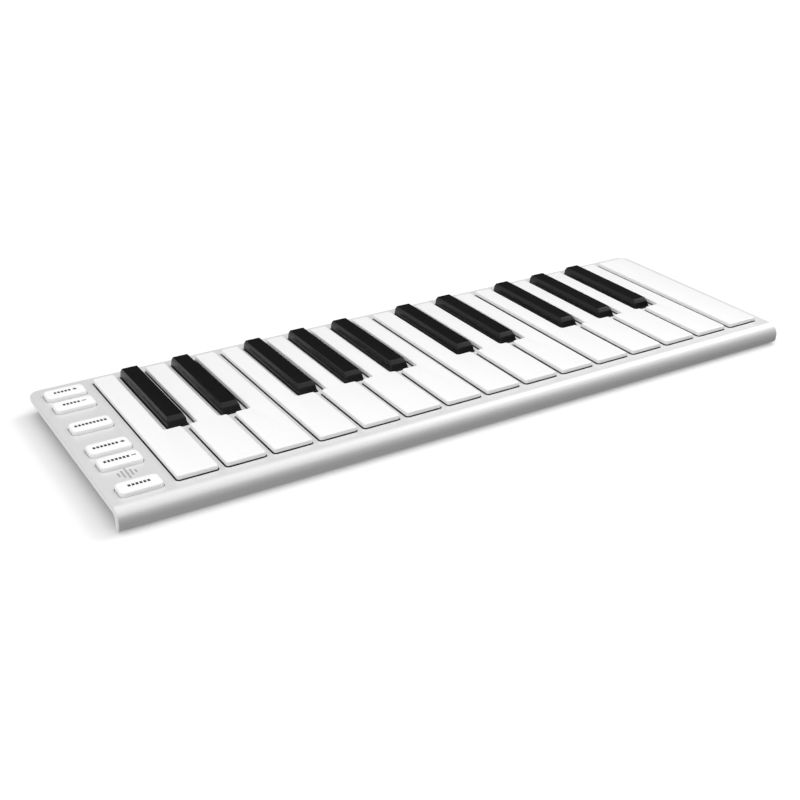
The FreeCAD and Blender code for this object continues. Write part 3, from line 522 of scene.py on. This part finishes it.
def add_deck(shape):
    """The flat deck: two filled faces with windows, chamfered rims and window walls."""
    low = DECK_UNDERSIDE
    outside = deck_outline(0.0)
    inset = deck_outline(RIM)
    windows = shell_windows(0.0)
    wide_windows = shell_windows(WINDOW_EDGE)
    for outlines, height in (([inset] + wide_windows, DECK_TOP), ([inset] + windows, low)):
        points, faces = fill_plane(outlines, height)
        corners = [shape.verts.new(point) for point in points]
        for face in faces:
            shape.faces.new([corners[index] for index in face])
    polished = []
    rim_rings = [
        lift(inset, DECK_TOP),
        lift(outside, DECK_TOP - RIM),
        lift(outside, low + RIM),
        lift(inset, low),
    ]
    rings = [[shape.verts.new(point) for point in ring] for ring in rim_rings]
    for ring, following in zip(rings, rings[1:]):
        for index in range(1, len(ring)):
            after = (index + 1) % len(ring)
            face = shape.faces.new((ring[index], ring[after], following[after], following[index]))
            polished.append(face)
    for window, wide in zip(windows, wide_windows):
        ring_points = [lift(wide, DECK_TOP), lift(window, DECK_TOP - WINDOW_EDGE), lift(window, low)]
        rings = [[shape.verts.new(point) for point in ring] for ring in ring_points]
        for ring, following in zip(rings, rings[1:]):
            for index in range(len(ring)):
                after = (index + 1) % len(ring)
                shape.faces.new((ring[index], ring[after], following[after], following[index]))
    return polished


def build_shell():
    """Top shell: the flat deck with its windows, joined to the bent front lip."""

    def build(shape):
        polished = add_deck(shape) + add_lip(shape)
        for face in polished:
            face.material_index = 1
        bmesh.ops.remove_doubles(shape, verts=shape.verts, dist=WELD)

    return new_piece("shell_bent_plate", build)


# ---------------------------------------------------------------- feet and legends


def build_feet():
    """Rubber feet: discs with a rounded rim and a shallow dish underneath."""
    low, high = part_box("rubber_feet")
    radius = 5.0 * MM
    steps = 64
    left = low.x + radius
    right = high.x - radius
    front = low.y + radius
    rear = high.y - radius
    places = [(x, y) for x in (left, (left + right) / 2, right) for y in (front, rear)]
    # Share of the radius against share of the height, from the dish out to the rim.
    profile = [
        (0.55, 0.10), (0.62, 0.02), (0.66, 0.0), (0.90, 0.0),
        (0.95, 0.04), (0.985, 0.15), (1.0, 0.35), (1.0, 1.0),
    ]

    def build(shape):
        for place in places:
            rings = []
            for share, rise in profile:
                section = circle(place, radius * share, steps)
                rings.append([(x, y, low.z + (high.z - low.z) * rise) for x, y in section])
            add_skin(shape, rings)

    return new_piece("feet_discs", build)


# Each legend is a row of plain ticks as long as the printed one, and four have a plus or minus sign.
LEGENDS = {
    "octave_up_button": (5, "plus"),
    "octave_down_button": (5, "minus"),
    "modulation_button": (9, None),
    "pitch_up_button": (7, "plus"),
    "pitch_down_button": (7, "minus"),
    "sustain_button": (6, None),
}


def legend_marks(count, sign):
    """Rectangles of one legend, about its middle, as (left, front, right, rear)."""
    tick = 1.2 * MM
    step = 1.8 * MM
    tall = 0.95 * MM
    thin = 0.35 * MM
    sign_size = 1.1 * MM
    sign_space = 2.7 * MM if sign else 0.0
    length = (count - 1) * step + tick + sign_space
    start = -length / 2
    marks = []
    for index in range(count):
        left = start + index * step
        marks.append((left, -tall, left + tick, tall))
    if sign:
        middle = start + length - sign_size / 2
        marks.append((middle - sign_size, -thin, middle + sign_size, thin))
    if sign == "plus":
        marks.append((middle - thin, thin, middle + thin, sign_size))
        marks.append((middle - thin, -sign_size, middle + thin, -thin))
    return marks


def build_legend(name):
    """Printed marks on a button, a film of ink just above its top."""
    low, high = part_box(name)
    middle_x = (low.x + high.x) / 2
    middle_y = (low.y + high.y) / 2
    count, sign = LEGENDS[name]
    soft = 0.1 * MM

    def build(shape):
        for left, front, right, rear in legend_marks(count, sign):
            outline = rectangle(middle_x + left, middle_y + front, middle_x + right, middle_y + rear)
            ring = rounded(outline, [soft] * 4, 3)
            add_skin(shape, [lift(ring, high.z - 2 * INK_FILM), lift(ring, high.z)])

    return new_piece(f"{name}_legend", build)


def build_level_mark():
    """Generic mark on the deck's front corner: five bars like a level meter, a film of ink."""
    left = SHELL_LOW.x + 11.0 * MM
    front = SHELL_LOW.y + 25.0 * MM
    bar_width = 1.0 * MM
    step = 2.0 * MM
    heights = (4.0 * MM, 7.0 * MM, 10.0 * MM, 6.0 * MM, 3.0 * MM)
    middle = front + max(heights) / 2
    film = 0.012 * MM

    def build(shape):
        for index, tall in enumerate(heights):
            start = left + index * step
            outline = rectangle(start, middle - tall / 2, start + bar_width, middle + tall / 2)
            ring = rounded(outline, [bar_width / 2.1] * 4, 5)
            add_skin(shape, [lift(ring, DECK_TOP - film), lift(ring, DECK_TOP + film)])

    return new_piece("deck_level_mark", build)


# ---------------------------------------------------------------- materials


def new_material(name, colour, roughness, metallic=0.0):
    """A Principled material with plain values on the shader's own sockets."""
    material = bpy.data.materials.new(name)
    material.use_nodes = True
    tree = material.node_tree
    shader = tree.nodes["Principled BSDF"]
    shader.inputs["Base Color"].default_value = (*colour, 1.0)
    shader.inputs["Roughness"].default_value = roughness
    shader.inputs["Metallic"].default_value = metallic
    coordinates = tree.nodes.new("ShaderNodeTexCoord")
    return material, tree, shader, coordinates


def noise(tree, coordinates, scale, detail=2.0, stretch=None):
    """Noise in the object's own space; stretch makes it long along one axis."""
    texture = tree.nodes.new("ShaderNodeTexNoise")
    texture.inputs["Scale"].default_value = scale
    texture.inputs["Detail"].default_value = detail
    source = coordinates.outputs["Object"]
    if stretch:
        mapping = tree.nodes.new("ShaderNodeMapping")
        mapping.inputs["Scale"].default_value = stretch
        tree.links.new(source, mapping.inputs["Vector"])
        source = mapping.outputs["Vector"]
    tree.links.new(source, texture.inputs["Vector"])
    return texture.outputs["Fac"]


def tint(tree, shader, factor, dark, light, low=0.35, high=0.65):
    """Colour the surface between two tones by a texture."""
    ramp = tree.nodes.new("ShaderNodeValToRGB")
    ramp.color_ramp.elements[0].position = low
    ramp.color_ramp.elements[1].position = high
    ramp.color_ramp.elements[0].color = (*dark, 1.0)
    ramp.color_ramp.elements[1].color = (*light, 1.0)
    tree.links.new(factor, ramp.inputs["Fac"])
    tree.links.new(ramp.outputs["Color"], shader.inputs["Base Color"])


def vary_roughness(tree, shader, factor, low, high):
    """Let a texture move the roughness between two values."""
    spread = tree.nodes.new("ShaderNodeMapRange")
    spread.inputs["To Min"].default_value = low
    spread.inputs["To Max"].default_value = high
    tree.links.new(factor, spread.inputs["Value"])
    tree.links.new(spread.outputs["Result"], shader.inputs["Roughness"])


def add_bump(tree, shader, factor, strength, distance):
    """Relief from a texture; distance is the real height in metres."""
    bump = tree.nodes.new("ShaderNodeBump")
    bump.inputs["Strength"].default_value = strength
    bump.inputs["Distance"].default_value = distance
    tree.links.new(factor, bump.inputs["Height"])
    tree.links.new(bump.outputs["Normal"], shader.inputs["Normal"])


def grained(name, dark, light, roughness, scale, strength, depth, metallic=0.0, spread=0.05):
    """A surface with fine even grain in colour, roughness and relief."""
    material, tree, shader, coordinates = new_material(name, light, roughness[0], metallic)
    grain = noise(tree, coordinates, scale, detail=3.0)
    drift = noise(tree, coordinates, scale * spread, detail=2.0)
    tint(tree, shader, grain, dark, light)
    vary_roughness(tree, shader, drift, *roughness)
    add_bump(tree, shader, grain, strength, depth)
    return material, shader


def grey(value, warm=0.0):
    return (value, value * (1.0 - warm * 0.5), value * (1.0 - warm))


def make_shell_material():
    material, _ = grained(
        "blasted_aluminium", grey(0.71), grey(0.78, 0.01), (0.38, 0.46), 2600.0, 0.35, 0.00002,
        metallic=0.25,
    )
    return material


def make_rim_material():
    """The fine chamfer cut round the shell after blasting, brighter than its faces."""
    material, _ = grained("cut_aluminium", grey(0.86), grey(0.92), (0.22, 0.3), 900.0, 0.1, 0.00001, 1.0)
    return material


# Painted shade: the cover is near-black so the gaps, the space under the deck and the floor beside its
# overhang read darker.
def make_cover_painted_shade_material():
    material, _ = grained("cover_painted_shade_black", grey(0.018), grey(0.03), (0.45, 0.55), 1800.0, 0.3, 0.00002)
    return material


def make_white_key_material():
    material, shader = grained(
        "white_key_plastic", grey(0.89), grey(0.91, 0.005), (0.26, 0.34), 900.0, 0.12, 0.00001
    )
    shader.inputs["Specular IOR Level"].default_value = 0.45
    return material


def make_black_key_material():
    light = (0.0065, 0.0052, 0.0055)
    material, shader = grained(
        "black_key_plastic", grey(0.003), light, (0.2, 0.26), 1400.0, 0.2, 0.00001
    )
    shader.inputs["Specular IOR Level"].default_value = 0.27
    return material


def make_lever_painted_shade_material():
    """Near-black for a white key's parts below its cap, a painted shade that makes the gaps beside the keys
    read as dark shadow lines.
    """
    material, _ = grained("key_lever_painted_shade", grey(0.02), grey(0.03), (0.5, 0.6), 1200.0, 0.2, 0.00002)
    return material


def make_button_material():
    material, shader = grained(
        "button_plastic", grey(0.90), grey(0.92, 0.005), (0.42, 0.5), 1200.0, 0.15, 0.00001
    )
    shader.inputs["Specular IOR Level"].default_value = 0.4
    return material


def make_ink_material():
    material, _ = grained("legend_ink", grey(0.012), grey(0.03), (0.5, 0.6), 1800.0, 0.1, 0.00001)
    return material


def make_mark_material():
    material, _ = grained("deck_mark_ink", grey(0.34), grey(0.42), (0.5, 0.6), 1800.0, 0.1, 0.00001)
    return material


def make_rubber_material():
    material, _ = grained("foot_rubber", grey(0.02), grey(0.035), (0.75, 0.9), 1500.0, 0.4, 0.00004)
    return material


def make_rod_material():
    material, tree, shader, coordinates = new_material("ground_steel", grey(0.55), 0.25, 1.0)
    rings = noise(tree, coordinates, 300.0, stretch=(12.0, 1.0, 1.0))
    tint(tree, shader, rings, grey(0.45), grey(0.62))
    vary_roughness(tree, shader, rings, 0.2, 0.34)
    return material


def make_spring_material():
    material, tree, shader, coordinates = new_material("rolled_spring_steel", grey(0.5), 0.3, 1.0)
    streaks = noise(tree, coordinates, 200.0, stretch=(20.0, 1.0, 1.0))
    tint(tree, shader, streaks, (0.42, 0.44, 0.48), (0.58, 0.59, 0.62))
    add_bump(tree, shader, streaks, 0.2, 0.00001)
    return material


def make_screw_material():
    material, _ = grained(
        "black_oxide_steel", grey(0.08), grey(0.13), (0.35, 0.5), 2200.0, 0.3, 0.00002, metallic=1.0
    )
    return material


def make_brass_material():
    material, tree, shader, coordinates = new_material("turned_brass", (0.7, 0.52, 0.24), 0.3, 1.0)
    turning = noise(tree, coordinates, 260.0, stretch=(1.0, 1.0, 14.0))
    tint(tree, shader, turning, (0.6, 0.43, 0.18), (0.78, 0.6, 0.3))
    return material


def make_rail_material():
    material, _ = grained("rail_plastic", grey(0.02), grey(0.03), (0.5, 0.62), 1200.0, 0.3, 0.00003)
    return material


def make_board_material():
    """Solder mask over a faint grid of tracks."""
    material, tree, shader, coordinates = new_material("solder_mask", (0.02, 0.12, 0.06), 0.35)
    tracks = tree.nodes.new("ShaderNodeTexBrick")
    tracks.inputs["Scale"].default_value = 220.0
    tracks.inputs["Mortar Size"].default_value = 0.012
    tracks.inputs["Color1"].default_value = (0.018, 0.11, 0.055, 1.0)
    tracks.inputs["Color2"].default_value = (0.022, 0.14, 0.07, 1.0)
    tracks.inputs["Mortar"].default_value = (0.06, 0.25, 0.12, 1.0)
    tree.links.new(coordinates.outputs["Object"], tracks.inputs["Vector"])
    tree.links.new(tracks.outputs["Color"], shader.inputs["Base Color"])
    add_bump(tree, shader, tracks.outputs["Fac"], 0.3, 0.00002)
    return material


def make_foam_material():
    material, _ = grained("closed_cell_foam", grey(0.03), grey(0.07), (0.85, 0.95), 1600.0, 0.8, 0.0001)
    return material


def make_silicone_material():
    material, shader = grained("silicone", grey(0.42), grey(0.5), (0.45, 0.6), 700.0, 0.2, 0.00002)
    shader.inputs["Subsurface Weight"].default_value = 0.1
    return material


def make_felt_material():
    material, tree, shader, coordinates = new_material("wool_felt", (0.25, 0.03, 0.03), 0.95)
    fibres = noise(tree, coordinates, 1800.0, detail=6.0, stretch=(1.0, 0.4, 1.0))
    tint(tree, shader, fibres, (0.12, 0.012, 0.012), (0.34, 0.05, 0.05))
    add_bump(tree, shader, fibres, 0.9, 0.00015)
    shader.inputs["Sheen Weight"].default_value = 0.4
    return material


def make_switch_material():
    material, _ = grained("moulded_black", grey(0.015), grey(0.025), (0.45, 0.55), 1500.0, 0.2, 0.00002)
    return material


def make_ribbon_material():
    """White film with the conductors showing through as stripes."""
    material, tree, shader, coordinates = new_material("flat_ribbon", grey(0.7), 0.4)
    stripes = tree.nodes.new("ShaderNodeTexWave")
    stripes.bands_direction = "Y"
    stripes.inputs["Scale"].default_value = 320.0
    tree.links.new(coordinates.outputs["Object"], stripes.inputs["Vector"])
    tint(tree, shader, stripes.outputs["Fac"], grey(0.5), grey(0.75))
    add_bump(tree, shader, stripes.outputs["Fac"], 0.4, 0.00004)
    return material


def make_socket_material():
    material, _ = grained(
        "nickel_plate", grey(0.58), grey(0.68, 0.02), (0.22, 0.32), 900.0, 0.1, 0.00001, metallic=1.0
    )
    return material


MATERIALS = {
    "shell_aluminium": make_shell_material(),
    # The cover's slot takes the near-black painted shade, not an aluminium tone.
    "cover_aluminium": make_cover_painted_shade_material(),
    "foot_rubber": make_rubber_material(),
    "standoff_brass": make_brass_material(),
    "screw_steel": make_screw_material(),
    "rod_steel": make_rod_material(),
    "rail_plastic": make_rail_material(),
    "spring_steel": make_spring_material(),
    "white_key": make_white_key_material(),
    "black_key": make_black_key_material(),
    "button": make_button_material(),
    "board_green": make_board_material(),
    "pad_foam": make_foam_material(),
    "silicone": make_silicone_material(),
    "felt": make_felt_material(),
    "switch_black": make_switch_material(),
    "chip_black": make_switch_material(),
    "ribbon_white": make_ribbon_material(),
    "socket_metal": make_socket_material(),
}
INK = make_ink_material()


def finish_piece(piece, node, material=None):
    """Give a piece the material of a CAD node's slot and attach it to that node's body."""
    slot = SLOT_OF[node]
    piece.data.materials.clear()
    piece.data.materials.append(material or MATERIALS[slot])
    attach(piece, BODY_OF[node])


def dress_cad_nodes():
    """Carried-over CAD nodes get their slot's material and clean shading."""
    for name, node in NODES.items():
        node.data.materials.clear()
        node.data.materials.append(MATERIALS[SLOT_OF[name]])
        smooth_by_angle(node.data, 30.0)


def build_object():
    dress_cad_nodes()
    lever_painted_shade = make_lever_painted_shade_material()
    for name in WHITE_KEYS:
        piece = build_white_key(name)
        smooth_by_angle(piece.data)
        finish_piece(piece, name)
        piece.data.materials.append(lever_painted_shade)
        # Faces below the cap's bottom take the near-black painted shade, so the gaps round each white key
        # look shadowed.
        for polygon in piece.data.polygons:
            highest = max(piece.data.vertices[corner].co.z for corner in polygon.vertices)
            if highest < WHITE_CAP_BOTTOM + SLACK:
                polygon.material_index = 1
        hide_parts(name)
    for name in BLACK_KEYS:
        piece = build_black_key(name)
        smooth_by_angle(piece.data)
        finish_piece(piece, name)
        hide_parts(name)
    for name in BUTTONS:
        piece = build_button(name)
        smooth_by_angle(piece.data)
        finish_piece(piece, name)
        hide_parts(name)
        legend = build_legend(name)
        finish_piece(legend, name, INK)
    shell = build_shell()
    smooth_by_angle(shell.data, 30.0)
    finish_piece(shell, "top_shell")
    shell.data.materials.append(make_rim_material())
    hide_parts("top_shell")
    mark = build_level_mark()
    finish_piece(mark, "top_shell", make_mark_material())
    feet = build_feet()
    smooth_by_angle(feet.data)
    finish_piece(feet, "rubber_feet")
    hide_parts("rubber_feet")


# ---------------------------------------------------------------- stage, light and camera

DOME_LOW = 0.035
DOME_HIGH = 1.0
DOME_STRENGTH = 1.34
DOME_TILT = math.radians(7.0)
DOME_START = 0.42
DOME_END = 0.72
SIDE_FILL = 0.6
WALL = 0.96
LOW_FRONT = 0.03
LOW_BEHIND = 0.75
LOW_STEEP = 0.25


def build_floor():
    material, tree, shader, coordinates = new_material("floor_paper", grey(0.92), 0.9)
    mottle = noise(tree, coordinates, 3.0)
    tint(tree, shader, mottle, grey(0.915), grey(0.925))
    shader.inputs["Specular IOR Level"].default_value = 0.0
    half = 20.0

    def build(shape):
        corners = [(-half, -half, 0), (half, -half, 0), (half, half, 0), (-half, half, 0)]
        shape.faces.new([shape.verts.new(corner) for corner in corners])

    floor = new_piece("floor", build)
    floor.data.materials.append(material)
    floor.visible_diffuse = False
    floor.visible_glossy = False
    floor.visible_shadow = False


def falloff(tree, source, start, end, top, bottom=0.0):
    """A value that climbs from its bottom to its top as the source goes from start to end."""
    node = tree.nodes.new("ShaderNodeMapRange")
    node.inputs["From Min"].default_value = start
    node.inputs["From Max"].default_value = end
    node.inputs["To Min"].default_value = bottom
    node.inputs["To Max"].default_value = top
    tree.links.new(source, node.inputs["Value"])
    return node.outputs["Result"]


def combine(tree, operation, first, second):
    """One value from two, by a Math operation."""
    node = tree.nodes.new("ShaderNodeMath")
    node.operation = operation
    tree.links.new(first, node.inputs[0])
    tree.links.new(second, node.inputs[1])
    return node.outputs["Value"]


def build_world():
    """Studio dome leaned to the front: bright overhead, dim at the horizon, pale where a floor would be."""
    world = bpy.data.worlds.new("studio")
    bpy.context.scene.world = world
    world.use_nodes = True
    tree = world.node_tree
    direction = tree.nodes.new("ShaderNodeTexCoord")
    split = tree.nodes.new("ShaderNodeSeparateXYZ")
    tree.links.new(direction.outputs["Generated"], split.inputs["Vector"])
    tilted = tree.nodes.new("ShaderNodeVectorMath")
    tilted.operation = "DOT_PRODUCT"
    tilted.inputs[1].default_value = (0.0, -math.sin(DOME_TILT), math.cos(DOME_TILT))
    tree.links.new(direction.outputs["Generated"], tilted.inputs[0])
    height = tree.nodes.new("ShaderNodeValToRGB")
    ramp = height.color_ramp
    ramp.interpolation = "EASE"
    ramp.elements[0].position = DOME_START
    ramp.elements[0].color = (*grey(DOME_LOW), 1.0)
    ramp.elements[1].position = DOME_END
    ramp.elements[1].color = (*grey(DOME_HIGH), 1.0)
    tree.links.new(tilted.outputs["Value"], height.inputs["Fac"])
    side = falloff(tree, split.outputs["X"], -0.2, -0.5, SIDE_FILL)
    behind = falloff(tree, split.outputs["Y"], 0.0, 0.5, LOW_BEHIND, LOW_FRONT)
    below = falloff(tree, split.outputs["Z"], 0.1, -0.2, 1.0)
    steep = falloff(tree, split.outputs["Z"], -0.65, -0.8, LOW_STEEP)
    low = combine(tree, "MULTIPLY", behind, below)
    fill = combine(tree, "MAXIMUM", combine(tree, "MAXIMUM", side, low), steep)
    total = tree.nodes.new("ShaderNodeMixRGB")
    total.blend_type = "LIGHTEN"
    total.inputs["Fac"].default_value = 1.0
    tree.links.new(height.outputs["Color"], total.inputs["Color1"])
    tree.links.new(fill, total.inputs["Color2"])
    background = tree.nodes["Background"]
    background.inputs["Strength"].default_value = DOME_STRENGTH
    tree.links.new(total.outputs["Color"], background.inputs["Color"])
    # Past the floor's far edge the wall is as pale as the floor.
    wall = tree.nodes.new("ShaderNodeBackground")
    wall.inputs["Color"].default_value = (*grey(WALL), 1.0)
    path = tree.nodes.new("ShaderNodeLightPath")
    choice = tree.nodes.new("ShaderNodeMixShader")
    tree.links.new(path.outputs["Is Camera Ray"], choice.inputs["Fac"])
    tree.links.new(background.outputs["Background"], choice.inputs[1])
    tree.links.new(wall.outputs["Background"], choice.inputs[2])
    tree.links.new(choice.outputs["Shader"], tree.nodes["World Output"].inputs["Surface"])


def add_area_light(name, place, target, size, power):
    """A soft box that points at a target."""
    data = bpy.data.lights.new(name, "AREA")
    data.shape = "RECTANGLE"
    data.size, data.size_y = size
    data.energy = power
    lamp = bpy.data.objects.new(name, data)
    lamp.location = place
    lamp.rotation_euler = (Vector(target) - Vector(place)).to_track_quat("-Z", "Y").to_euler()
    bpy.context.scene.collection.objects.link(lamp)


def build_lights():
    place = (1.5, 0.25, 1.4)
    target = (0.0, 0.0, 0.0)
    size = (1.0, 1.0)
    power = 13.0
    add_area_light("right_softbox", place, target, size, power)


def build_camera():
    """Camera at the viewing angle that the perspective of the keys gives."""
    data = bpy.data.cameras.new("camera")
    data.sensor_width = 36.0
    data.lens = 55.10
    data.clip_start = 0.01
    data.clip_end = 50.0
    camera = bpy.data.objects.new("camera", data)
    place = Vector((-0.31657, -0.50594, 0.28203))
    yaw = math.radians(30.796)
    pitch = math.radians(26.4256)
    roll = math.radians(-0.2031)
    forward = Vector((math.sin(yaw) * math.cos(pitch), math.cos(yaw) * math.cos(pitch), -math.sin(pitch)))
    right = Vector((math.cos(yaw), -math.sin(yaw), 0.0))
    up = right.cross(forward)
    tilted_right = right * math.cos(roll) + up * math.sin(roll)
    tilted_up = up * math.cos(roll) - right * math.sin(roll)
    turn = Matrix((tilted_right, tilted_up, -forward)).transposed()
    camera.matrix_world = Matrix.Translation(place) @ turn.to_4x4()
    bpy.context.scene.collection.objects.link(camera)
    bpy.context.scene.camera = camera


def set_view():
    settings = bpy.context.scene.view_settings
    settings.view_transform = "Standard"
    settings.look = "None"
    settings.exposure = 0.0


build_object()
build_floor()
build_world()
build_lights()
build_camera()
set_view()
